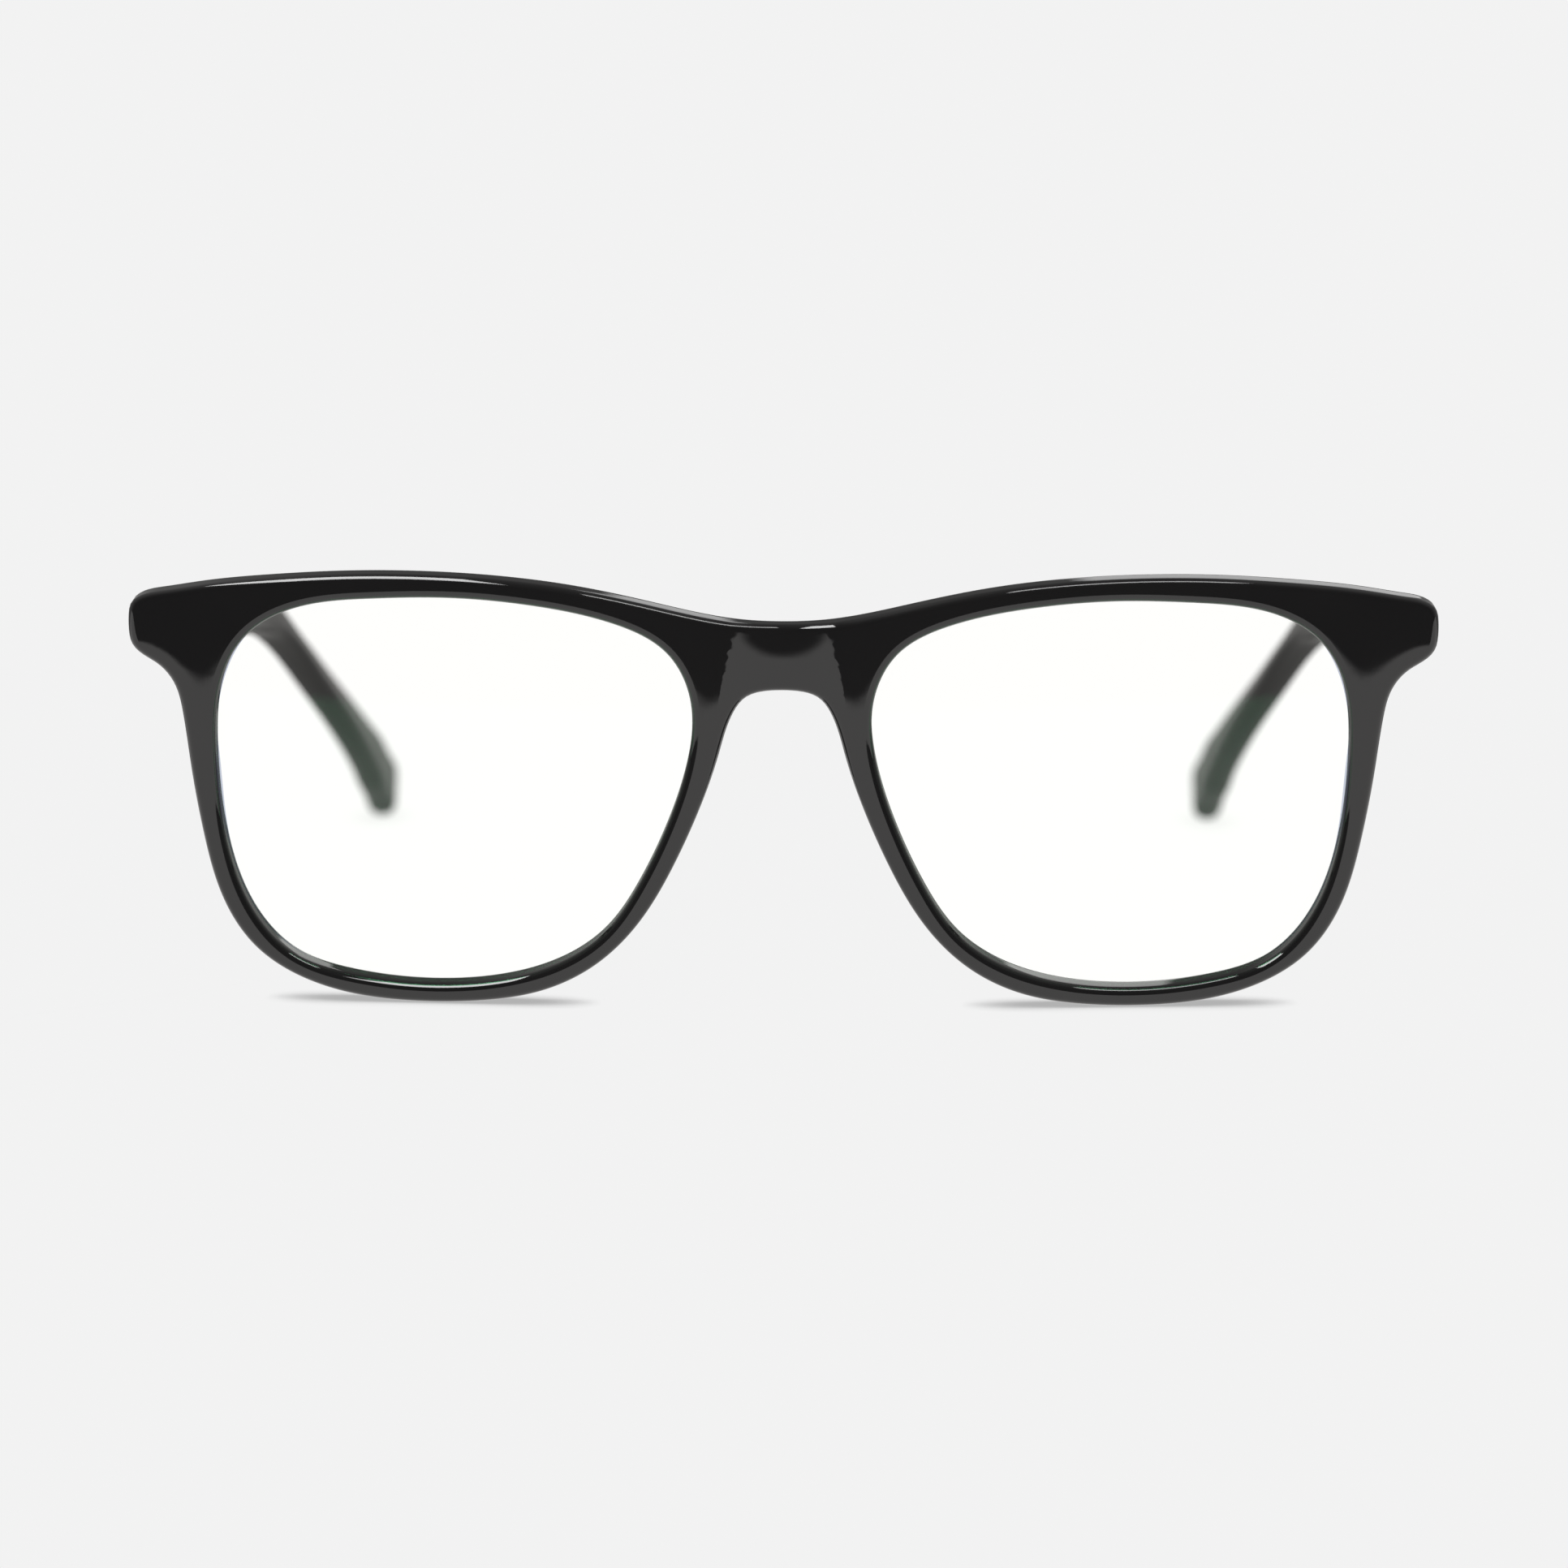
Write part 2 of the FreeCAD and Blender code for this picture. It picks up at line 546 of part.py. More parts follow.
def hinge_slider(doc, sheet):
    """Single barrel with the rod that the spring pulls into the temple."""
    front = front_frame_placement(sheet)
    low = sheet.hinge_z - sheet.slider_barrel_length / 2
    barrel = cylinder(doc, "slider_barrel", at(front, sheet.hinge_x, sheet.hinge_y, low),
                      "Dimensions.barrel_radius", "Dimensions.slider_barrel_length")
    hinge = hinge_in_temple(sheet)
    rod_x = rod_line(sheet)[0]
    corner = at(temple_placement(sheet), hinge.x - sheet.neck_side, hinge.y + sheet.neck_start,
                hinge.z - sheet.neck_height / 2)
    neck = box(doc, "slider_neck", corner,
               f"{rod_x - hinge.x} + Dimensions.neck_side + Dimensions.rod_radius",
               "Dimensions.housing_start - Dimensions.neck_start - Dimensions.neck_gap",
               "Dimensions.neck_height")
    rod = cylinder(doc, "slider_rod", along_rod(sheet, sheet.rod_start), "Dimensions.rod_radius",
                   "Dimensions.rod_end - Dimensions.rod_start")
    hole = cylinder(doc, "slider_hole", at(front, sheet.hinge_x, sheet.hinge_y, low - 2),
                    "Dimensions.screw_radius + Dimensions.screw_clearance",
                    "Dimensions.slider_barrel_length + 4")
    return cut_away(doc, "hinge_slider_left", join(doc, "slider_solid", [barrel, neck, rod]), hole)


def hinge_housing(doc, sheet):
    """Box sunk in the temple's inner side, bored for the spring."""
    x, z = rod_line(sheet)
    hinge_y = hinge_in_temple(sheet).y
    body = new_body(doc, "hinge_housing_left", temple_placement(sheet))
    start = hinge_y + sheet.housing_start
    offset = FreeCAD.Placement(V(0, 0, -start), FreeCAD.Rotation())
    section = new_sketch(body, "housing_section", "XZ_Plane", offset)
    rounded_rectangle(section, sheet.housing_width, sheet.housing_height, sheet.housing_round, (x, z))
    shell = body.newObject("PartDesign::Pad", "housing_shell")
    shell.Profile = section
    shell.Reversed = True
    bind(shell, Length="Dimensions.housing_length")
    for name, radius, depth, length in (
            ("housing_mouth", sheet.rod_radius + sheet.rod_clearance, 0.0, sheet.housing_wall),
            ("housing_bore", sheet.housing_bore_radius, sheet.housing_wall, sheet.housing_bore_length)):
        place = FreeCAD.Placement(V(0, 0, -start - depth), FreeCAD.Rotation())
        circle = new_sketch(body, name + "_circle", "XZ_Plane", place)
        circle.addGeometry(Part.Circle(V(x, z, 0), V(0, 0, 1), radius))
        pocket = body.newObject("PartDesign::Pocket", name)
        pocket.Profile = circle
        pocket.Length = length
    doc.recompute()
    return body


def spring_stop(doc, sheet):
    """Collar pressed on the end of the rod."""
    start = sheet.rod_end - sheet.stop_length
    collar = cylinder(doc, "stop_collar", along_rod(sheet, start), "Dimensions.stop_radius",
                      "Dimensions.stop_length")
    hole = cylinder(doc, "stop_hole", along_rod(sheet, start - 1), "Dimensions.rod_radius",
                    "Dimensions.stop_length + 2")
    return cut_away(doc, "spring_stop_left", collar, hole)


def hinge_spring(doc, sheet):
    """Compression spring between the housing's front wall and the stop."""
    inset = sheet.spring_wire / 2 + sheet.spring_gap
    start = sheet.housing_start + sheet.housing_wall + inset
    end = sheet.rod_end - sheet.stop_length - inset
    pitch = (end - start) / sheet.spring_coils
    rise = math.atan2(pitch, 2 * math.pi * sheet.spring_coil_radius)
    along_wire = V(0, math.cos(rise), math.sin(rise))
    helix = Part.makeHelix(pitch, end - start, sheet.spring_coil_radius)
    ring = Part.Circle(V(sheet.spring_coil_radius, 0, 0), along_wire, sheet.spring_wire / 2)
    section = Part.Wire([ring.toShape()])
    spring = doc.addObject("Part::Feature", "hinge_spring_left")
    spring.Shape = Part.Wire(helix.Edges).makePipeShell([section], True, True)
    spring.Placement = along_rod(sheet, start)
    return spring


# ---------------------------------------------------------------- temple

def smooth_step(value):
    """0 to 1 with no kink at either end."""
    value = min(max(value, 0.0), 1.0)
    return value * value * (3 - 2 * value)


def temple_directions(sheet, along):
    """Lateral, upward and forward unit vectors of the temple at a distance along it."""
    bend = smooth_step((along - sheet.bend_start) / sheet.bend_length)
    back = smooth_step((along - sheet.tip_start) / (sheet.temple_length - sheet.tip_start))
    yaw = math.radians(sheet.bend_inward * bend - sheet.tip_return * back)
    pitch = math.radians(sheet.bend_drop * bend - sheet.tip_return * back / 2)
    twist = math.radians(sheet.bend_twist * (bend - back))
    level = V(math.cos(yaw), math.sin(yaw), 0)
    forward = V(-math.sin(yaw) * math.cos(pitch), math.cos(yaw) * math.cos(pitch), -math.sin(pitch))
    upright = level.cross(forward)
    lateral = level * math.cos(twist) - upright * math.sin(twist)
    return lateral, lateral.cross(forward), forward


def temple_point(sheet, along):
    """Middle of the temple at a distance along it, in the temple frame."""
    steps = max(1, round(along * 4))
    span = along / steps
    point = V(0, 0, 0)
    for number in range(steps):
        point = point + temple_directions(sheet, (number + 0.5) * span)[2] * span
    return point


def temple_station(sheet, along):
    """Placement of the temple's section at a distance along it: X lateral, Y upward."""
    lateral, upward, forward = temple_directions(sheet, along)
    turn = FreeCAD.Rotation(lateral, upward, forward * -1, "ZXY")
    return FreeCAD.Placement(temple_point(sheet, along), turn)


def temple_section(sheet, along):
    """Thickness, height and edge rounding of the temple at a distance along it."""
    paddle = smooth_step((along - sheet.bend_start - sheet.bend_length / 2) / sheet.paddle_ramp)
    thickness = sheet.blade_thickness + (sheet.tip_thickness - sheet.blade_thickness) * paddle
    depth = sheet.blade_depth_ear + (sheet.tip_depth - sheet.blade_depth_ear) * paddle
    edge = sheet.blade_edge_round + (sheet.tip_edge_round - sheet.blade_edge_round) * paddle
    into_tip = (along - sheet.temple_length + sheet.tip_rounding) / sheet.tip_rounding
    if into_tip > 0:
        depth *= math.sqrt(1 - into_tip ** 2)
        thickness *= (1 - into_tip ** 3) ** 0.5
    return thickness, depth, min(edge, 0.46 * thickness, 0.46 * depth)


def ear_stations(sheet):
    """Distances along the temple of the ear part's sections: close together where it turns."""
    bend, tip = sheet.bend_start, sheet.temple_length - sheet.tip_rounding
    into_bend = [bend + sheet.bend_length * share for share in (0.05, 0.25, 0.5, 0.75, 1.0)]
    paddle = [into_bend[-1] + (tip - into_bend[-1]) * share for share in (0.15, 0.3, 0.5, 0.7, 0.85, 1.0)]
    rounding = [tip + sheet.tip_rounding * share for share in (0.35, 0.62, 0.82, 0.94, 0.99)]
    return [sheet.blade_length, sheet.blade_length + 3] + into_bend + paddle + rounding


def temple_body(doc, sheet):
    """Flat-sided blade that turns into the bent ear paddle."""
    body = new_body(doc, "temple_blank", temple_placement(sheet))
    side = new_sketch(body, "blade_side", "YZ_Plane")
    tilt = math.tan(math.radians(sheet.lean + sheet.blade_slope))
    front, rear = sheet.blade_depth_hinge / 2, sheet.blade_depth_ear / 2
    polygon(side, [(front * tilt, -front), (sheet.blade_length, -rear), (sheet.blade_length, rear),
                   (-front * tilt, front)])
    blade = body.newObject("PartDesign::Pad", "blade")
    blade.Profile = side
    blade.Midplane = True
    bind(blade, Length="Dimensions.blade_thickness")
    add_fillet(doc, body, "blade_edges", "blade_edge_round",
               lambda edge: edge.Length > sheet.blade_length - 2)

    sketches = []
    for number, along in enumerate(ear_stations(sheet)):
        sketch = new_sketch(body, f"ear_section_{number}", "XY_Plane", temple_station(sheet, along))
        rounded_rectangle(sketch, *temple_section(sheet, along))
        sketches.append(sketch)
    doc.recompute()
    ear = body.newObject("PartDesign::AdditiveLoft", "ear_paddle")
    ear.Profile = sketches[0]
    ear.Sections = sketches[1:]
    doc.recompute()
    return body


def wire_path(sheet):
    """The core wire's middle line: a straight, an arc round the ear bend, and a straight."""
    start, end = temple_point(sheet, sheet.wire_start), temple_point(sheet, sheet.wire_end)
    into = temple_directions(sheet, sheet.wire_start)[2]
    out = temple_directions(sheet, sheet.bend_start + sheet.bend_length)[2]
    bend_end = temple_point(sheet, sheet.bend_start + sheet.bend_length)
    square = into - out * into.dot(out)
    corner = start + into * ((bend_end - start).dot(square) / into.dot(square))
    out = (end - corner).normalize()
    tangent = (corner - temple_point(sheet, sheet.bend_start)).Length * sheet.wire_bend_share
    first, last = corner - into * tangent, corner + out * tangent
    half_turn = into.getAngle(out) / 2
    radius = tangent / math.tan(half_turn)
    inward = (out - into).normalize()
    middle = corner + inward * (radius / math.cos(half_turn) - radius)
    return [Part.LineSegment(start, first), Part.Arc(first, middle, last), Part.LineSegment(last, end)]


def core_wire(doc, sheet, name):
    """Round steel wire along the temple's middle."""
    path = wire_path(sheet)
    along = path[0].EndPoint - path[0].StartPoint
    ring = Part.Circle(path[0].StartPoint, along, sheet.wire_radius)
    spine = Part.Wire([piece.toShape() for piece in path])
    wire = doc.addObject("Part::Feature", name)
    wire.Shape = spine.makePipeShell([Part.Wire([ring.toShape()])], True, False)
    wire.Placement = temple_placement(sheet)
    return wire


def temple(doc, sheet):
    """The temple with its housing seat and the channel that the core wire fills."""
    x, z = rod_line(sheet)
    start = hinge_in_temple(sheet).y + sheet.housing_start
    corner = at(temple_placement(sheet), x - sheet.housing_width / 2 - MARGIN, start - sheet.seat_play,
                z - sheet.housing_height / 2 - sheet.seat_play)
    seat = box(doc, "housing_seat", corner,
               f"Dimensions.housing_width + {MARGIN} + Dimensions.seat_play",
               "Dimensions.housing_length + 2 * Dimensions.seat_play",
               "Dimensions.housing_height + 2 * Dimensions.seat_play")
    tools = join(doc, "temple_cuts", [seat, core_wire(doc, sheet, "core_channel")])
    return cut_away(doc, "temple_left", temple_body(doc, sheet), tools)


# ---------------------------------------------------------------- assembly

def mirror_image(doc, source, label):
    """The wearer's right-hand twin of a left-hand piece."""
    twin = doc.addObject("Part::Mirroring", label)
    twin.Source = source
    twin.Base = V(0, 0, 0)
    twin.Normal = V(1, 0, 0)
    twin.Label = label
    return twin


def front_piece(doc, sheet):
    """The finished front: the blank less two lens seats and two hinge seats."""
    blank = round_front(doc, sheet, front_blank(doc, sheet))
    seat = lens_body(doc, sheet, "lens_seat", sheet.seat_clearance)
    plate = plate_box(doc, sheet, "plate_seat")
    tools = [seat, plate]
    tools += [mirror_image(doc, tool, tool.Name + "_twin") for tool in (seat, plate)]
    return cut_away(doc, "front_frame", blank, join(doc, "front_cuts", tools))


def build(doc):
    """Make every sub-part and return the ones to write."""
    sheet = make_sheet(doc)
    left = [lens_body(doc, sheet, "lens_left", 0.0), nose_pad(doc, sheet), hinge_front(doc, sheet),
            hinge_screw(doc, sheet), hinge_slider(doc, sheet), hinge_housing(doc, sheet),
            hinge_spring(doc, sheet), spring_stop(doc, sheet), core_wire(doc, sheet, "core_wire_left"),
            temple(doc, sheet)]
    right = [mirror_image(doc, piece, piece.Label.replace("left", "right")) for piece in left]
    parts = [front_piece(doc, sheet)] + left + right
    doc.recompute()
    return parts


def check(doc, parts):
    """Stop if any object failed or any sub-part is not a single valid solid."""
    failed = [item.Name for item in doc.Objects if {"Invalid", "Error"} & set(item.State)]
    if failed:
        raise RuntimeError(f"failed objects: {failed}")
    for part in parts:
        shape = part.Shape
        if shape.isNull() or not shape.isValid() or len(shape.Solids) != 1:
            raise RuntimeError(f"{part.Label}: not one valid solid")


def main():
    doc = FreeCAD.newDocument("glasses")
    parts = build(doc)
    check(doc, parts)
    os.makedirs("parts", exist_ok=True)
    for part in parts:
        part.Shape.exportStep(f"parts/{part.Label}.step")
        size = part.Shape.BoundBox
        print(f"{part.Label:20s} {part.Shape.Volume:9.2f} mm3  y {size.YMin:.3f}..{size.YMax:.3f}"
              f"  z {size.ZMin:.3f}..{size.ZMax:.3f}")


main()
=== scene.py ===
"""Black acetate glasses with clear coated lenses, standing open on a pale table.

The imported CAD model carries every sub-part. The front is rebuilt here with the softly domed
and rounded surface that tumbling gives milled acetate; everything else keeps its CAD shape.
Lengths are metres unless a name ends in _MM. The front is drawn upright in millimetres
(x across, y back, z up from its lowest edge) and then leaned into the row frame.
"""

import math

import bpy
import numpy as np
from mathutils import Matrix, Vector
from mathutils.geometry import delaunay_2d_cdt


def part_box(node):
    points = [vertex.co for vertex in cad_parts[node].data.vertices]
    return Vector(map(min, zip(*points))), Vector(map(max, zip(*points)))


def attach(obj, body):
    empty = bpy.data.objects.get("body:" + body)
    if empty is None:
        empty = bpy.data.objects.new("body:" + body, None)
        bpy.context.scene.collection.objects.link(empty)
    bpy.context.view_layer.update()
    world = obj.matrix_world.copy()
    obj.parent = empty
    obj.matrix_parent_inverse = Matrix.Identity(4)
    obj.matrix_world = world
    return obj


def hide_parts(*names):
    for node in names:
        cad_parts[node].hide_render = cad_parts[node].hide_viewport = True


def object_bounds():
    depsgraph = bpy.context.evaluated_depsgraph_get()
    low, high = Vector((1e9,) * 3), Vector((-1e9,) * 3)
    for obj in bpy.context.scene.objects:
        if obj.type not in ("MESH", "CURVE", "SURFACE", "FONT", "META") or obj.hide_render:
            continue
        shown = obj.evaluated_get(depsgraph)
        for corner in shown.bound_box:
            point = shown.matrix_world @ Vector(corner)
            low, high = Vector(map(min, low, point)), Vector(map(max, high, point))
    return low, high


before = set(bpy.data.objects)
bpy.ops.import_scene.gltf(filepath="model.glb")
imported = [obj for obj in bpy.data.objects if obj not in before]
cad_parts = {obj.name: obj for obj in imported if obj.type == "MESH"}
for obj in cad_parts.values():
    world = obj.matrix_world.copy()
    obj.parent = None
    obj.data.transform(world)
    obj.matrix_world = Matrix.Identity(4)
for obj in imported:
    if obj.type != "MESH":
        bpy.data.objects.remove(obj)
CAD_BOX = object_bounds()

MM = 0.001

# ---------------------------------------------------------------- sizes of the front

# The front is bent round the face, and leans back as it stands on the table.
FACE_RADIUS_MM = 420.0
RIM_DEPTH_MM = 4.0
LEAN_DEGREES = 3.0

# The scoop in the bridge: its bend across, and its downward tilt, which grows towards its sides.
SCOOP_RADIUS_MM = 25.0
SCOOP_DEPTH_MM = 0.75
SCOOP_MIDDLE_MM = 38.0
SCOOP_TILT = 0.0227
SCOOP_TWIST = 0.013
SCOOP_WIDEST_MM = 7.75

# The thick blocks behind the end pieces, which carry the hinges.
BLOCK_START_MM = 61.8
BLOCK_BOTTOM_MM = 35.9
BLOCK_TOP_MM = 43.7
BLOCK_TOP_SLOPE = 0.2
BLOCK_BACK_MM = 9.96
BLOCK_RAMP_MM = 0.5

# Rounded edges, and the low dome along them, which fades out at the top of the scoop.
FRONT_ROUND_MM = 0.8
BACK_ROUND_MM = 0.45
DOME_SLOPE = 0.078
DOME_REACH_MM = 1.12
FADE_START_MM = 36.8
FADE_HEIGHT_MM = 2.2
FADE_SIDE_MM = 6.6
FADE_WIDTH_MM = 1.6

# The mesh: its strip along the edges and the distance between points inside it. As shares of that
# distance: the height of a row, and how close to a crease or an edge a point may lie. Last, how far
# the two rows that keep the scoop's crease sharp stand off it.
STRIP_MM = 0.86
SPACING_MM = 0.55
ROW_SHARE = 0.87
CREASE_GAP = 0.35
EDGE_GAP = 0.3
CREASE_MM = 0.06

# Half of the front's outline, across and up, from the top of the bridge round to its underside.
HALF_OUTLINE = [(0, 41.5), (4.5, 41.7), (9, 42.4), (14, 43.5), (22, 45.1), (30, 46.05), (39, 46.45),
                (47, 46.3), (55, 45.7), (62, 44.85), (66.5, 44.05), (68.9, 43.4), (69.8, 42.65),
                (70.1, 41.4), (70.1, 39.7), (69.75, 38.2), (68.8, 37.2), (67, 36.1), (65.2, 34),
                (64.35, 31), (63.5, 25), (62.2, 17.6), (60.15, 10.6), (56.7, 5.5), (51, 2),
                (45, 0.45), (39, 0), (32, 0.25), (26, 1.35), (20.3, 4.1), (15.6, 8.6),
                (11.4, 15.6), (8.75, 21.6), (6.7, 27.6), (5.3, 31.8), (3.9, 33.6), (1.9, 34.25),
                (0, 34.35)]

# Opening of a rim at its front edge, across and up, anticlockwise from the temple side.
LENS_OPENING = [(60.8, 27), (60, 34.8), (57.3, 39.5), (52.5, 42.4), (44, 43.75), (35.3, 44),
                (26.5, 43.3), (18, 41.5), (12.2, 38.3), (9.7, 33), (9.9, 27.5), (12.2, 19.8),
                (15.4, 13), (19, 7.9), (24, 4.5), (30.3, 2.6), (38, 2), (46.5, 2.85),
                (52.6, 4.95), (56.9, 9.5), (59.6, 16.5)]


# ---------------------------------------------------------------- outlines

def smooth_loop(points, spacing):
    """Evenly spread points on the smooth closed curve through the given ones."""
    knots = np.array(points, float)
    count = len(knots)
    ahead = np.roll(knots, -1, axis=0)
    span = np.linalg.norm(ahead - knots, axis=1)
    system, right = np.zeros((count, count)), np.zeros((count, 2))
    for i in range(count):
        system[i, i - 1] += span[i - 1]
        system[i, i] += 2 * (span[i - 1] + span[i])
        system[i, (i + 1) % count] += span[i]
        right[i] = 6 * ((ahead[i] - knots[i]) / span[i] - (knots[i] - knots[i - 1]) / span[i - 1])
    bend = np.linalg.solve(system, right)
    after = np.roll(bend, -1, axis=0)
    share = np.linspace(0, 1, 40, endpoint=False)[None, :, None]
    size = span[:, None, None]
    dense = ((1 - share) * knots[:, None] + share * ahead[:, None]
             + size ** 2 / 6 * (((1 - share) ** 3 - (1 - share)) * bend[:, None]
                                + (share ** 3 - share) * after[:, None])).reshape(-1, 2)
    closed = np.vstack([dense, dense[:1]])
    run = np.concatenate([[0], np.cumsum(np.linalg.norm(np.diff(closed, axis=0), axis=1))])
    even = np.linspace(0, run[-1], round(run[-1] / spacing), endpoint=False)
    return np.stack([np.interp(even, run, closed[:, axis]) for axis in (0, 1)], axis=1)


def loop_area(loop):
    """Signed area, positive for an anticlockwise loop."""
    ahead = np.roll(loop, -1, axis=0)
    return 0.5 * float(np.sum(loop[:, 0] * ahead[:, 1] - loop[:, 1] * ahead[:, 0]))


def turned(loop, anticlockwise):
    """The loop, run in the asked direction."""
    return loop if (loop_area(loop) > 0) == anticlockwise else loop[::-1]


def offset_left(loop, distance):
    """The loop moved to the left of its running direction."""
    along = np.roll(loop, -1, axis=0) - np.roll(loop, 1, axis=0)
    along /= np.linalg.norm(along, axis=1)[:, None]
    return loop + distance * np.stack([-along[:, 1], along[:, 0]], axis=1)


def distance_to(loop, points):
    """Distance of each point from a closed loop."""
    start, end = loop, np.roll(loop, -1, axis=0)
    best = np.full(len(points), 1e9)
    for low in range(0, len(points), 500):
        batch = points[low:low + 500, None, :]
        run = end - start
        share = np.clip(np.sum((batch - start) * run, axis=2) / np.sum(run * run, axis=1), 0, 1)
        nearest = start + share[:, :, None] * run
        best[low:low + 500] = np.linalg.norm(batch - nearest, axis=2).min(axis=1)
    return best


def inside(loop, points):
    """Which points lie inside a closed loop."""
    result = np.zeros(len(points), bool)
    for (x0, z0), (x1, z1) in zip(loop, np.roll(loop, -1, axis=0)):
        crosses = (z0 > points[:, 1]) != (z1 > points[:, 1])
        height = z1 - z0 if z1 != z0 else 1e-12
        result ^= crosses & (points[:, 0] < x0 + (points[:, 1] - z0) * (x1 - x0) / height)
    return result


# ---------------------------------------------------------------- the front's surfaces

def smooth_step(value):
    """0 to 1 with no kink at either end."""
    value = np.clip(value, 0, 1)
    return value * value * (3 - 2 * value)


def quarter_round(distance, radius):
    """How far a rounded edge falls away at a distance in from the edge."""
    inward = np.clip(distance, 0, radius)
    return radius - np.sqrt(np.clip(radius ** 2 - (radius - inward) ** 2, 0, None))


def scoop_drop(x, z):
    """Extra depth of the scoop away from its middle height; its sides tilt a little more."""
    aside = np.minimum(np.abs(x), SCOOP_WIDEST_MM)
    return SCOOP_TILT * (1 + SCOOP_TWIST * aside ** 2) * (SCOOP_MIDDLE_MM - z)


def scoop_edge(z):
    """How far the scoop reaches either side of the middle at a height."""
    reach = SCOOP_RADIUS_MM / 4
    for _ in range(6):
        sagitta = SCOOP_DEPTH_MM + scoop_drop(reach, z)
        reach = np.sqrt(SCOOP_RADIUS_MM ** 2 - (SCOOP_RADIUS_MM - sagitta) ** 2)
    return reach


def front_depth(points, loops, edge):
    """Depth of the front surface: bent face, bridge scoop, gentle dome and rounded edges."""
    x, z = points[:, 0], points[:, 1]
    face = FACE_RADIUS_MM - np.sqrt(FACE_RADIUS_MM ** 2 - x ** 2)
    bend = np.sqrt(np.clip(SCOOP_RADIUS_MM ** 2 - x ** 2, 0, None)) - SCOOP_RADIUS_MM
    scoop = SCOOP_DEPTH_MM + bend + scoop_drop(x, z)
    domes = [np.exp(-distance_to(loop, points) / DOME_REACH_MM) for loop in loops]
    faded = smooth_step((z - FADE_START_MM) / FADE_HEIGHT_MM)
    faded = faded * smooth_step((FADE_SIDE_MM - np.abs(x)) / FADE_WIDTH_MM)
    dome = domes[0] * (1 - faded) + sum(domes[1:])
    return (np.maximum(face, scoop) + DOME_SLOPE * DOME_REACH_MM * dome
            + quarter_round(edge, FRONT_ROUND_MM))


def block_top(x):
    """Top of the thick end block: just out of sight below the front's own top edge."""
    return BLOCK_TOP_MM - BLOCK_TOP_SLOPE * (x - BLOCK_START_MM)


def back_depth(points, edge):
    """Depth of the back: the bent rims and the flat blocks that carry the hinges."""
    x, z = np.abs(points[:, 0]), points[:, 1]
    inner = FACE_RADIUS_MM - RIM_DEPTH_MM
    rim = FACE_RADIUS_MM - np.sqrt(inner ** 2 - x ** 2)
    block = smooth_step((x - BLOCK_START_MM) / BLOCK_RAMP_MM + 0.5)
    block = block * smooth_step((z - BLOCK_BOTTOM_MM) / BLOCK_RAMP_MM + 0.5)
    block = block * smooth_step((block_top(x) - z) / BLOCK_RAMP_MM + 0.5)
    return rim + block * (BLOCK_BACK_MM - rim) - quarter_round(edge, BACK_ROUND_MM)


def fill_points(rings):
    """Inside points: an even grid plus rows that keep the scoop's edges and the blocks crisp."""
    low, high = rings[0].min(axis=0), rings[0].max(axis=0)
    heights = np.arange(low[1], high[1], SPACING_MM * ROW_SHARE)
    grid = [(x + (i % 2) * SPACING_MM / 2, z) for i, z in enumerate(heights)
            for x in np.arange(low[0], high[0], SPACING_MM)]
    steps = [share * BLOCK_RAMP_MM for share in (-0.5, -0.25, 0, 0.25, 0.5)]
    rows = []
    for z in np.arange(low[1], high[1], SPACING_MM / 2):
        rows += [(scoop_edge(z) + side, z) for side in (-CREASE_MM, CREASE_MM)]
        if z > BLOCK_BOTTOM_MM - 2 * BLOCK_RAMP_MM:
            rows += [(BLOCK_START_MM + step, z) for step in steps]
    for x in np.arange(BLOCK_START_MM + 0.4 * BLOCK_RAMP_MM, high[0], SPACING_MM / 2):
        rows += [(x, BLOCK_BOTTOM_MM + step) for step in steps]
        rows += [(x, block_top(x) + step) for step in steps]
    rows += [(-x, z) for x, z in rows]
    crisp = np.array(rows)
    gap = [np.min(np.sum((crisp - point) ** 2, axis=1)) for point in grid]
    keep = [point for point, near in zip(grid, gap) if near > (CREASE_GAP * SPACING_MM) ** 2]
    points = np.array(keep + rows)
    good = inside(rings[0], points)
    for ring in rings:
        good &= distance_to(ring, points) > EDGE_GAP * SPACING_MM
    for ring in rings[1:]:
        good &= ~inside(ring, points)
    return points[good]


def fill_rings(rings, points):
    """Triangles between an outer ring and its holes, over ring points first and inside points next."""
    flat = np.vstack(rings + [points])
    edges, start = [], 0
    for ring in rings:
        count = len(ring)
        edges += [(start + i, start + (i + 1) % count) for i in range(count)]
        start += count
    result = delaunay_2d_cdt([Vector(point) for point in flat], edges, [], 0, 1e-7)
    verts = np.array([vert[:] for vert in result[0]])
    faces = np.array([face[:] for face in result[2]])
    source = [origin[0] for origin in result[3]]
    middle = verts[faces].mean(axis=1)
    good = inside(rings[0], middle)
    for ring in rings[1:]:
        good &= ~inside(ring, middle)
    return [[source[corner] for corner in face] for face in faces[good]]


def edge_profile():
    """Distances in from the edge and surface side, from the front strip round to the back one."""
    turn = np.radians(np.linspace(90, 0, 7))
    front = [(STRIP_MM, 0)] + [(FRONT_ROUND_MM * (1 - math.cos(angle)), 0) for angle in turn]
    wall = [(0.0, share) for share in (0.25, 0.5, 0.75)]
    turn = np.radians(np.linspace(0, 90, 5))
    back = [(BACK_ROUND_MM * (1 - math.cos(angle)), 1) for angle in turn] + [(STRIP_MM, 1)]
    return front + wall + back


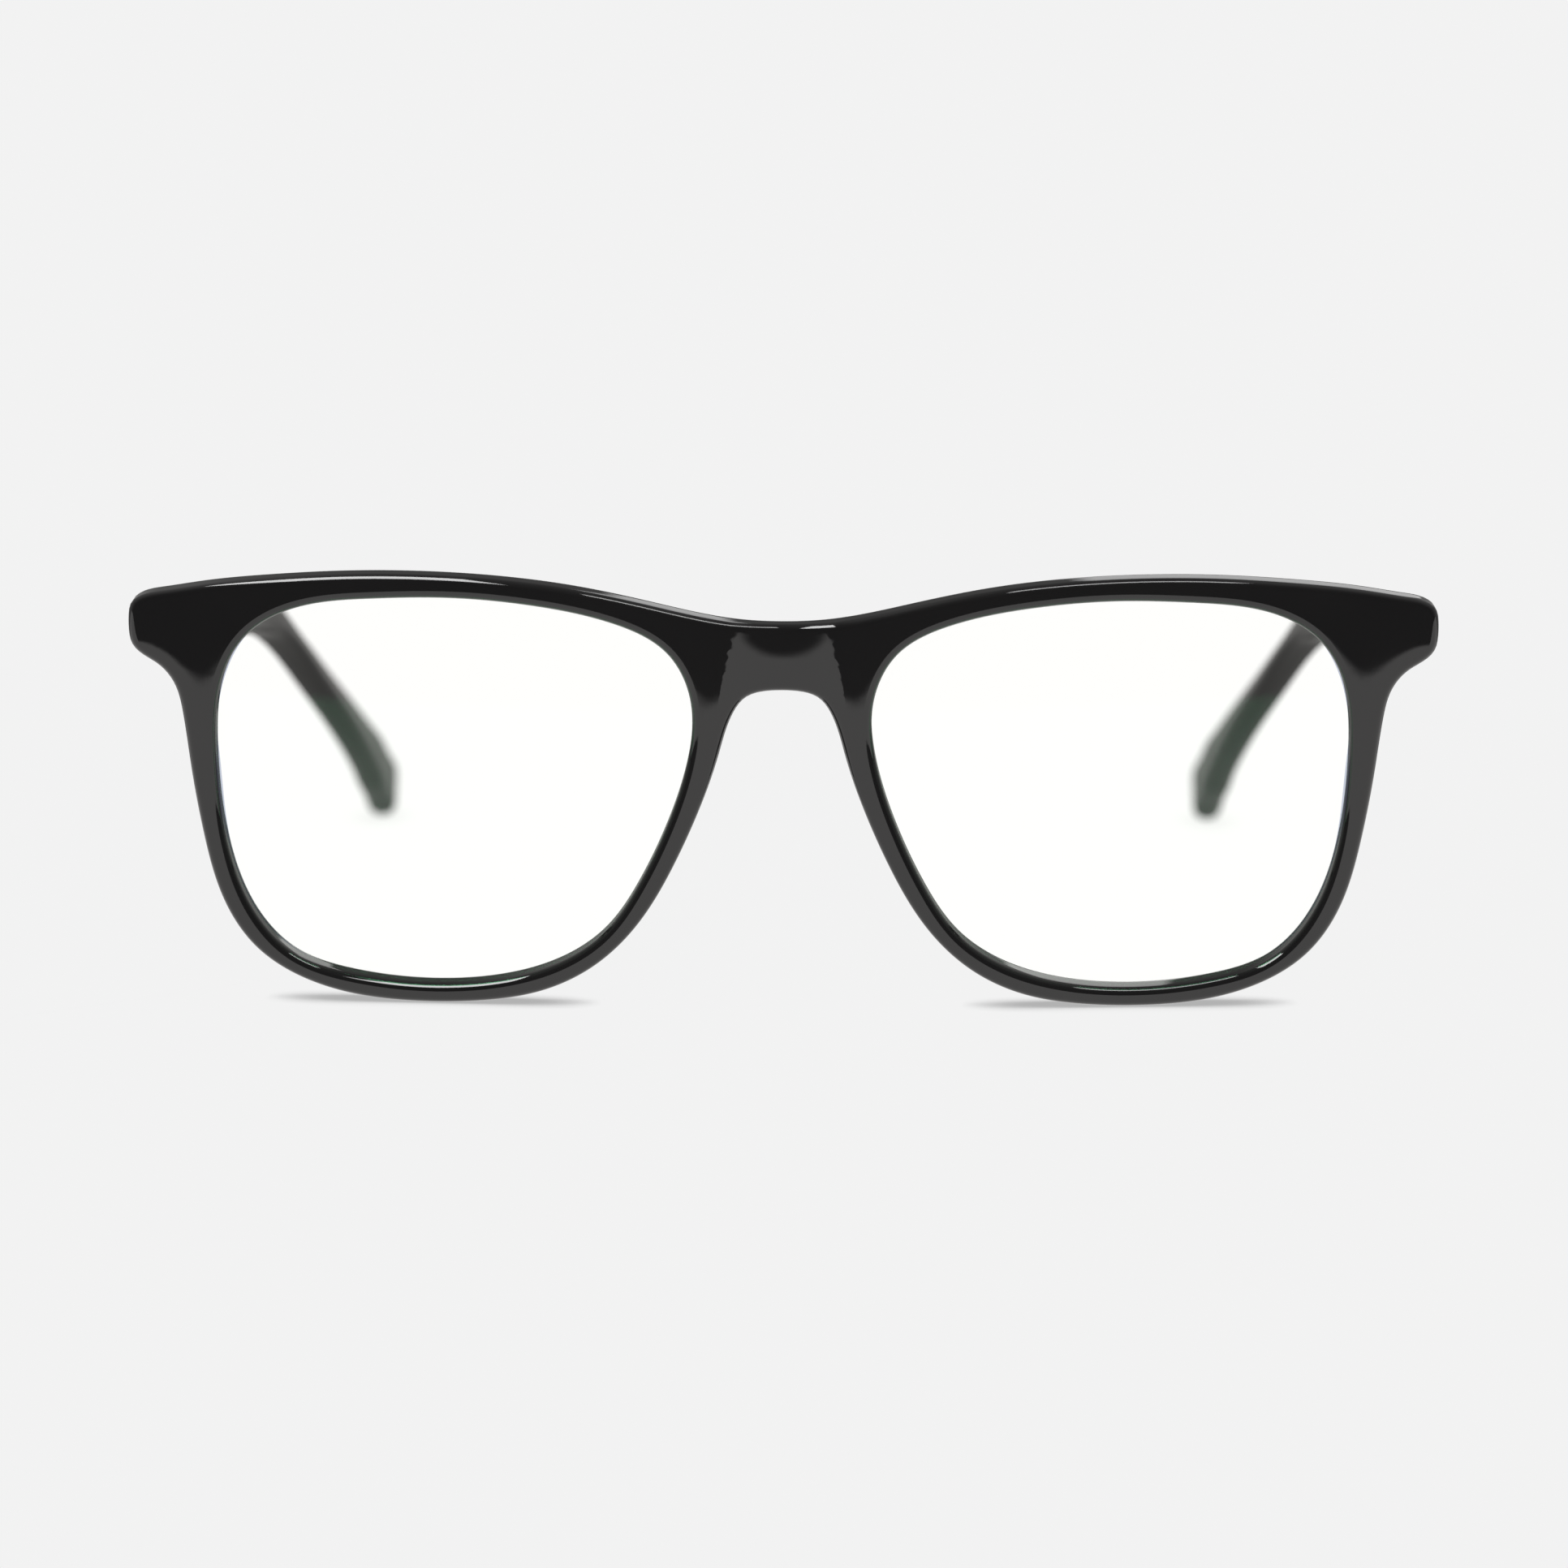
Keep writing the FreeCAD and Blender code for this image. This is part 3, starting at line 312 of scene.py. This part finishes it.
def front_mesh():
    """Vertices and faces of the front in millimetres, upright."""
    mirrored = [(-x, z) for x, z in reversed(HALF_OUTLINE[1:-1])]
    outer = turned(smooth_loop(HALF_OUTLINE + mirrored, SPACING_MM), True)
    left = turned(smooth_loop(LENS_OPENING, SPACING_MM), False)
    right = turned(left * (-1, 1), False)
    loops = [outer, left, right]
    profile = edge_profile()
    verts, faces, rims = [], [], {0: [], 1: []}
    start = 0
    for loop in loops:
        count = len(loop)
        for row, (distance, side) in enumerate(profile):
            ring = offset_left(loop, distance)
            edge = np.full(count, distance)
            front, back = front_depth(ring, loops, edge), back_depth(ring, edge)
            depth = front + side * (back - front)
            verts.append(np.stack([ring[:, 0], depth, ring[:, 1]], axis=1))
            if row in (0, len(profile) - 1):
                rims[0 if row == 0 else 1].append((ring, start + row * count))
            if row:
                near, far = start + (row - 1) * count, start + row * count
                faces += [(near + i, far + i, far + (i + 1) % count, near + (i + 1) % count)
                          for i in range(count)]
        start += count * len(profile)
    rings = [ring for ring, _ in rims[0]]
    points = fill_points(rings)
    triangles = fill_rings(rings, points)
    edge = np.full(len(points), STRIP_MM)
    surfaces = ((0, front_depth(points, loops, edge)), (1, back_depth(points, edge)))
    for side, depth in surfaces:
        verts.append(np.stack([points[:, 0], depth, points[:, 1]], axis=1))
        index = np.concatenate([np.arange(first, first + len(ring)) for ring, first in rims[side]]
                               + [np.arange(start, start + len(points))])
        start += len(points)
        for a, b, c in triangles:
            corner = (int(index[a]), int(index[b]), int(index[c]))
            faces.append(corner if side == 0 else corner[::-1])
    return np.vstack(verts), faces


def make_front():
    """The front as one piece, leaned and set on the CAD front's own box."""
    verts, faces = front_mesh()
    lean = np.array(Matrix.Rotation(math.radians(LEAN_DEGREES), 3, "X"))
    verts = verts @ lean.T * MM
    low, high = (np.array(corner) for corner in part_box("front_frame"))
    middle = (verts.min(axis=0) + verts.max(axis=0)) / 2
    verts += (low + high) / 2 - middle
    mesh = bpy.data.meshes.new("front_rims")
    mesh.from_pydata(verts.tolist(), [], faces)
    mesh.validate()
    mesh.shade_smooth()
    piece = bpy.data.objects.new("front_rims", mesh)
    bpy.context.scene.collection.objects.link(piece)
    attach(piece, "front")
    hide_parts("front_frame")
    return piece


# ---------------------------------------------------------------- materials

def new_material(name):
    """An empty node material: its node tree and output."""
    material = bpy.data.materials.new(name)
    material.use_nodes = True
    tree = material.node_tree
    tree.nodes.clear()
    return material, tree, tree.nodes.new("ShaderNodeOutputMaterial")


def math_node(tree, operation, first, second):
    """A maths node over sockets or numbers."""
    node = tree.nodes.new("ShaderNodeMath")
    node.operation = operation
    for socket, value in zip(node.inputs, (first, second)):
        if isinstance(value, (int, float)):
            socket.default_value = value
        else:
            tree.links.new(value, socket)
    return node.outputs[0]


def ramp(tree, value, low, high, start=0.0, end=1.0):
    """A value mapped from low..high onto start..end, held at the ends."""
    node = tree.nodes.new("ShaderNodeMapRange")
    node.interpolation_type = "SMOOTHSTEP"
    tree.links.new(value, node.inputs["Value"])
    for name, number in (("From Min", low), ("From Max", high), ("To Min", start), ("To Max", end)):
        node.inputs[name].default_value = number
    return node.outputs[0]


def noise(tree, scale):
    """Noise over the object's own space."""
    place = tree.nodes.new("ShaderNodeTexCoord")
    node = tree.nodes.new("ShaderNodeTexNoise")
    node.inputs["Scale"].default_value = scale
    node.inputs["Detail"].default_value = 3.0
    tree.links.new(place.outputs["Object"], node.inputs["Vector"])
    return node.outputs["Fac"]


def tinted(tree, value, dark, light):
    """A colour between two, picked by a value."""
    node = tree.nodes.new("ShaderNodeMix")
    node.data_type = "RGBA"
    tree.links.new(value, node.inputs["Factor"])
    node.inputs["A"].default_value = (*dark, 1)
    node.inputs["B"].default_value = (*light, 1)
    return node.outputs["Result"]


def solid_material(name, dark, light, rough, metallic, scale):
    """A principled surface whose colour and roughness drift with noise."""
    material, tree, output = new_material(name)
    shader = tree.nodes.new("ShaderNodeBsdfPrincipled")
    drift = noise(tree, scale)
    tree.links.new(tinted(tree, drift, dark, light), shader.inputs["Base Color"])
    tree.links.new(ramp(tree, noise(tree, scale * 3), 0.3, 0.7, *rough), shader.inputs["Roughness"])
    shader.inputs["Metallic"].default_value = metallic
    shader.inputs["IOR"].default_value = 1.5
    tree.links.new(shader.outputs[0], output.inputs["Surface"])
    return material


# The lenses: how far their coating's reflection leans down, its strength as a refractive index, its
# two greens, the colours seen through the ground edge (darker and bluish, painted shade for the rim's
# groove) and through the middle, and how closely a smooth normal has to agree with its face to be used.
LENS_TILT = 0.036
COATING_INDEX = 1.22
COATING_GREENS = ((0.22, 0.95, 0.45), (0.28, 1.0, 0.52))
LENS_EDGE_SHADE = (0.55, 0.58, 0.68)
LENS_CLEAR = (0.995, 0.994, 0.985)
SAME_NORMAL = 0.9999


def steady_normal(tree, geometry):
    """The smooth normal, or the face's own where a stray one at a lens's pole disagrees with it."""
    agree = tree.nodes.new("ShaderNodeVectorMath")
    agree.operation = "DOT_PRODUCT"
    tree.links.new(geometry.outputs["Normal"], agree.inputs[0])
    tree.links.new(geometry.outputs["True Normal"], agree.inputs[1])
    pick = tree.nodes.new("ShaderNodeMix")
    pick.data_type = "VECTOR"
    same = math_node(tree, "GREATER_THAN", agree.outputs["Value"], SAME_NORMAL)
    tree.links.new(same, pick.inputs["Factor"])
    tree.links.new(geometry.outputs["True Normal"], pick.inputs["A"])
    tree.links.new(geometry.outputs["Normal"], pick.inputs["B"])
    return pick.outputs["Result"]


def lens_material():
    """Clear lens whose two faces, but not its edge, carry a coating with a faint green reflection."""
    material, tree, output = new_material("coated_lens")
    geometry = tree.nodes.new("ShaderNodeNewGeometry")
    parts = tree.nodes.new("ShaderNodeSeparateXYZ")
    tree.links.new(geometry.outputs["True Normal"], parts.inputs[0])
    coated = ramp(tree, math_node(tree, "ABSOLUTE", parts.outputs["Y"], 0.0), 0.8, 0.93)
    clear = tree.nodes.new("ShaderNodeBsdfTransparent")
    # Painted shade: the ground edge is real, but its darker, bluish see-through colour stands in for the
    # rim's groove.
    tree.links.new(tinted(tree, coated, LENS_EDGE_SHADE, LENS_CLEAR), clear.inputs["Color"])
    gloss = tree.nodes.new("ShaderNodeBsdfGlossy")
    gloss.inputs["Roughness"].default_value = 0.0
    tree.links.new(tinted(tree, noise(tree, 25.0), *COATING_GREENS), gloss.inputs["Color"])
    tilt = tree.nodes.new("ShaderNodeVectorMath")
    tree.links.new(steady_normal(tree, geometry), tilt.inputs[0])
    tilt.inputs[1].default_value = (0, 0, -LENS_TILT)
    facing = tree.nodes.new("ShaderNodeFresnel")
    for node in (gloss, facing):
        tree.links.new(tilt.outputs[0], node.inputs["Normal"])
    inverse = 1 / COATING_INDEX
    from_inside = math_node(tree, "MULTIPLY", geometry.outputs["Backfacing"], inverse - COATING_INDEX)
    tree.links.new(math_node(tree, "ADD", from_inside, COATING_INDEX), facing.inputs["IOR"])
    mix = tree.nodes.new("ShaderNodeMixShader")
    tree.links.new(math_node(tree, "MULTIPLY", facing.outputs[0], coated), mix.inputs[0])
    tree.links.new(clear.outputs[0], mix.inputs[1])
    tree.links.new(gloss.outputs[0], mix.inputs[2])
    tree.links.new(mix.outputs[0], output.inputs["Surface"])
    return material


def paint(material, *names):
    """Give CAD nodes a material."""
    for name in names:
        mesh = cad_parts[name].data
        mesh.materials.clear()
        mesh.materials.append(material)


def dress(front):
    """Every visible piece in its material."""
    acetate = solid_material("black_acetate", (0.0095, 0.0092, 0.0095), (0.0125, 0.012, 0.012),
                             (0.02, 0.035), 0.0, 90.0)
    temple = solid_material("black_temple_acetate", (0.010, 0.0095, 0.0095), (0.0135, 0.013, 0.0125),
                            (0.03, 0.05), 0.0, 70.0)
    hinge = solid_material("nickel_steel", (0.52, 0.51, 0.49), (0.66, 0.65, 0.62),
                           (0.16, 0.28), 1.0, 900.0)
    screw = solid_material("screw_steel", (0.60, 0.60, 0.60), (0.74, 0.73, 0.72),
                           (0.12, 0.22), 1.0, 1500.0)
    spring = solid_material("spring_steel", (0.42, 0.42, 0.43), (0.58, 0.58, 0.58),
                            (0.2, 0.32), 1.0, 1500.0)
    front.data.materials.append(acetate)
    for side in ("left", "right"):
        paint(acetate, f"nose_pad_{side}")
        paint(temple, f"temple_{side}")
        paint(hinge, f"hinge_front_{side}", f"hinge_slider_{side}", f"hinge_housing_{side}")
        paint(screw, f"hinge_screw_{side}", f"core_wire_{side}")
        paint(spring, f"hinge_spring_{side}", f"spring_stop_{side}")
        paint(lens_material(), f"lens_{side}")
    paint(acetate, "front_frame")


# ---------------------------------------------------------------- table, surroundings and lights

# Brightness of the table and the room, and how much brighter both look through a lens: a painted glow in
# place of the lens coating's reflection of bright light.
PALE = 0.888
THROUGH_LENS_GLOW = 1.16

# The table as the glasses mirror it: it ends a little before the front, along a slightly skewed edge.
TABLE_FRONT = 0.134
TABLE_SKEW = 0.03
EDGE_SOFTNESS = 0.002
MIRRORED_TABLE = 1.15
MIRRORED_DARK = 0.02
MIRRORED_BEHIND = 0.24

# Contact shadows: how near a piece has to be, and the share of light lost under rims and tips.
CONTACT_REACH = 0.004
RIM_SHADOW = 0.5
TIP_SHADOW = 0.12

# The room as the glasses mirror it: behind the wearer, beside them, and from low to overhead.
ROOM_BEHIND = 0.09
ROOM_BESIDE = 0.34
ROOM_LOW = 0.012
ROOM_OVERHEAD = 0.08


def seen_through_lens(tree, direction, sign):
    """1 for a camera ray that has passed a lens while looking back along the temples, else 0."""
    path = tree.nodes.new("ShaderNodeLightPath")
    passed = math_node(tree, "GREATER_THAN", path.outputs["Transparent Depth"], 0.5)
    passed = math_node(tree, "MULTIPLY", passed, path.outputs["Is Camera Ray"])
    parts = tree.nodes.new("ShaderNodeSeparateXYZ")
    tree.links.new(direction, parts.inputs[0])
    along = math_node(tree, "MULTIPLY", parts.outputs["Y"], sign)
    return math_node(tree, "MULTIPLY", passed, ramp(tree, along, 0.85, 0.95))


def emission(tree, value, colour=(1, 1, 1)):
    """Light of a given strength."""
    node = tree.nodes.new("ShaderNodeEmission")
    node.inputs["Color"].default_value = (*colour, 1)
    if isinstance(value, (int, float)):
        node.inputs["Strength"].default_value = value
    else:
        tree.links.new(value, node.inputs["Strength"])
    return node.outputs[0]


def choose(tree, factor, first, second):
    """One shader or another."""
    node = tree.nodes.new("ShaderNodeMixShader")
    tree.links.new(factor, node.inputs[0])
    tree.links.new(first, node.inputs[1])
    tree.links.new(second, node.inputs[2])
    return node.outputs[0]


def contact_shade(tree, back):
    """1 on open table, less where a rim or, further back, a tip stands close above it."""
    node = tree.nodes.new("ShaderNodeAmbientOcclusion")
    node.samples = 8
    node.inputs["Distance"].default_value = CONTACT_REACH
    covered = ramp(tree, node.outputs["AO"], 0.3, 1.0, 1.0, 0.0)
    depth = ramp(tree, back, -0.03, 0.03, RIM_SHADOW, TIP_SHADOW)
    return math_node(tree, "SUBTRACT", 1.0, math_node(tree, "MULTIPLY", covered, depth))


def table_material(front_edge):
    """Even white with small contact shadows; mirrored, it ends a little way before the front."""
    material, tree, output = new_material("pale_table")
    geometry = tree.nodes.new("ShaderNodeNewGeometry")
    place = tree.nodes.new("ShaderNodeSeparateXYZ")
    tree.links.new(geometry.outputs["Position"], place.inputs[0])
    grain = tinted(tree, noise(tree, 40.0), (PALE, PALE, PALE), (PALE + 0.002,) * 3)
    shade = contact_shade(tree, place.outputs["Y"])
    # Painted glow: the table brightens where it is seen through a lens, in place of the lens's own
    # reflection.
    through = seen_through_lens(tree, geometry.outputs["Incoming"], -1.0)
    through = math_node(tree, "MULTIPLY", through, THROUGH_LENS_GLOW - 1)
    seen = emission(tree, math_node(tree, "MULTIPLY", math_node(tree, "ADD", through, 1.0), shade))
    tree.links.new(grain, seen.node.inputs["Color"])
    skew = math_node(tree, "MULTIPLY", place.outputs["X"], TABLE_SKEW)
    along = math_node(tree, "ADD", place.outputs["Y"], skew)
    lit = ramp(tree, along, front_edge - EDGE_SOFTNESS, front_edge + EDGE_SOFTNESS,
               MIRRORED_DARK, MIRRORED_TABLE)
    behind = ramp(tree, place.outputs["Y"], -0.02, 0.05, 1.0, MIRRORED_BEHIND)
    mirrored = emission(tree, math_node(tree, "MULTIPLY", lit, behind), (1.0, 0.985, 0.97))
    path = tree.nodes.new("ShaderNodeLightPath")
    tree.links.new(choose(tree, path.outputs["Is Glossy Ray"], seen, mirrored), output.inputs["Surface"])
    return material


def make_table(low):
    """The flat surface that the glasses stand on."""
    size = 12.0
    mesh = bpy.data.meshes.new("table")
    corners = [(-size, -size, low.z), (size, -size, low.z), (size, size, low.z), (-size, size, low.z)]
    mesh.from_pydata(corners, [], [(0, 1, 2, 3)])
    table = bpy.data.objects.new("table", mesh)
    bpy.context.scene.collection.objects.link(table)
    mesh.materials.append(table_material(low.y - TABLE_FRONT))


def make_world():
    """Even pale light; mirrored, a room that is dark before the table and brighter round it."""
    world = bpy.data.worlds.new("studio")
    bpy.context.scene.world = world
    world.use_nodes = True
    tree = world.node_tree
    tree.nodes.clear()
    output = tree.nodes.new("ShaderNodeOutputWorld")
    place = tree.nodes.new("ShaderNodeTexCoord")
    # Painted glow: the room brightens where it is seen through a lens, in place of the lens's own
    # reflection.
    through = seen_through_lens(tree, place.outputs["Generated"], 1.0)
    through = math_node(tree, "MULTIPLY", through, PALE * (THROUGH_LENS_GLOW - 1))
    shown = emission(tree, math_node(tree, "ADD", through, PALE))
    parts = tree.nodes.new("ShaderNodeSeparateXYZ")
    tree.links.new(place.outputs["Generated"], parts.inputs[0])
    aside = math_node(tree, "ABSOLUTE", parts.outputs["X"], 0.0)
    behind = ramp(tree, parts.outputs["Y"], -0.6, 0.3, 0.0, 1.0)
    beside = ramp(tree, aside, 0.08, 0.3, ROOM_BEHIND, ROOM_BESIDE)
    round_back = math_node(tree, "MULTIPLY", behind, beside)
    overhead = ramp(tree, parts.outputs["Z"], 0.45, 0.95, ROOM_LOW, ROOM_OVERHEAD)
    mirrored = emission(tree, math_node(tree, "ADD", round_back, overhead), (1.0, 0.99, 0.98))
    path = tree.nodes.new("ShaderNodeLightPath")
    even = choose(tree, path.outputs["Is Camera Ray"], emission(tree, 1.0), shown)
    tree.links.new(choose(tree, path.outputs["Is Glossy Ray"], even, mirrored), output.inputs["Surface"])


def softbox(name, place, tilt, width, height, strength):
    """A soft light that only shows in reflections; with no tilt it shines straight down."""
    data = bpy.data.lights.new(name, "AREA")
    data.shape = "RECTANGLE"
    data.size, data.size_y = width, height
    data.energy = strength * math.pi * width * height
    light = bpy.data.objects.new(name, data)
    bpy.context.scene.collection.objects.link(light)
    light.location = place
    light.rotation_euler = (math.radians(tilt), 0, 0)
    light.visible_camera = light.visible_diffuse = False
    light.visible_transmission = False


def make_lights(front):
    """Two strips close overhead for the lines on the upper edges, and a window behind."""
    x, y, z = front
    softbox("strip_left", (x - 0.12, y - 0.10, z + 0.30), 0, 0.13, 0.22, 14.0)
    softbox("strip_right", (x + 0.068, y - 0.09, z + 0.30), 0, 0.124, 0.06, 10.0)
    softbox("window_behind", (x + 0.32, y + 3.0, z + 0.75), -90, 0.5, 0.9, 0.8)


# ---------------------------------------------------------------- camera

# Where the camera stands from the front's middle, foremost and lowest points, and how it is turned.
CAMERA_ASIDE = 0.00794
CAMERA_AWAY = 0.6979
CAMERA_ABOVE = 0.12158
CAMERA_TURN, CAMERA_PITCH, CAMERA_ROLL = 0.65, 7.92, 0.22
FOCAL_LENGTH_MM = 152.09
FOCUS_DEPTH = 0.004


def make_camera(low, high):
    """Seen from the front, a little above and a little to the wearer's left, focused on the front."""
    turn, pitch, roll = (math.radians(angle) for angle in (CAMERA_TURN, CAMERA_PITCH, CAMERA_ROLL))
    ahead = Vector((-math.sin(turn), math.cos(turn), 0))
    forward = ahead * math.cos(pitch) - Vector((0, 0, math.sin(pitch)))
    across = Vector((math.cos(turn), math.sin(turn), 0))
    upward = across.cross(forward)
    side = across * math.cos(roll) + upward * math.sin(roll)
    rise = upward * math.cos(roll) - across * math.sin(roll)
    centre = (low + high) / 2
    data = bpy.data.cameras.new("camera")
    camera = bpy.data.objects.new("camera", data)
    bpy.context.scene.collection.objects.link(camera)
    camera.matrix_world = Matrix((side, rise, -forward)).transposed().to_4x4()
    camera.location = (centre.x + CAMERA_ASIDE, low.y - CAMERA_AWAY, low.z + CAMERA_ABOVE)
    data.lens = FOCAL_LENGTH_MM
    data.sensor_width = 36.0
    data.shift_x = 0.00145
    data.clip_start, data.clip_end = 0.05, 40.0
    focus = bpy.data.objects.new("focus", None)
    bpy.context.scene.collection.objects.link(focus)
    focus.location = (centre.x, low.y + FOCUS_DEPTH, centre.z)
    data.dof.use_dof = True
    data.dof.focus_object = focus
    data.dof.aperture_fstop = 16.0
    bpy.context.scene.camera = camera


def main():
    """Build everything, standing the table at the bottom of the CAD box."""
    scene = bpy.context.scene
    front = make_front()
    dress(front)
    low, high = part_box("front_frame")
    make_table(CAD_BOX[0])
    make_world()
    make_lights((low + high) / 2)
    make_camera(low, high)
    scene.view_settings.view_transform = "Standard"
    scene.cycles.transparent_max_bounces = 32
    scene.cycles.max_bounces = 8
    scene.cycles.sample_clamp_indirect = 6.0


main()
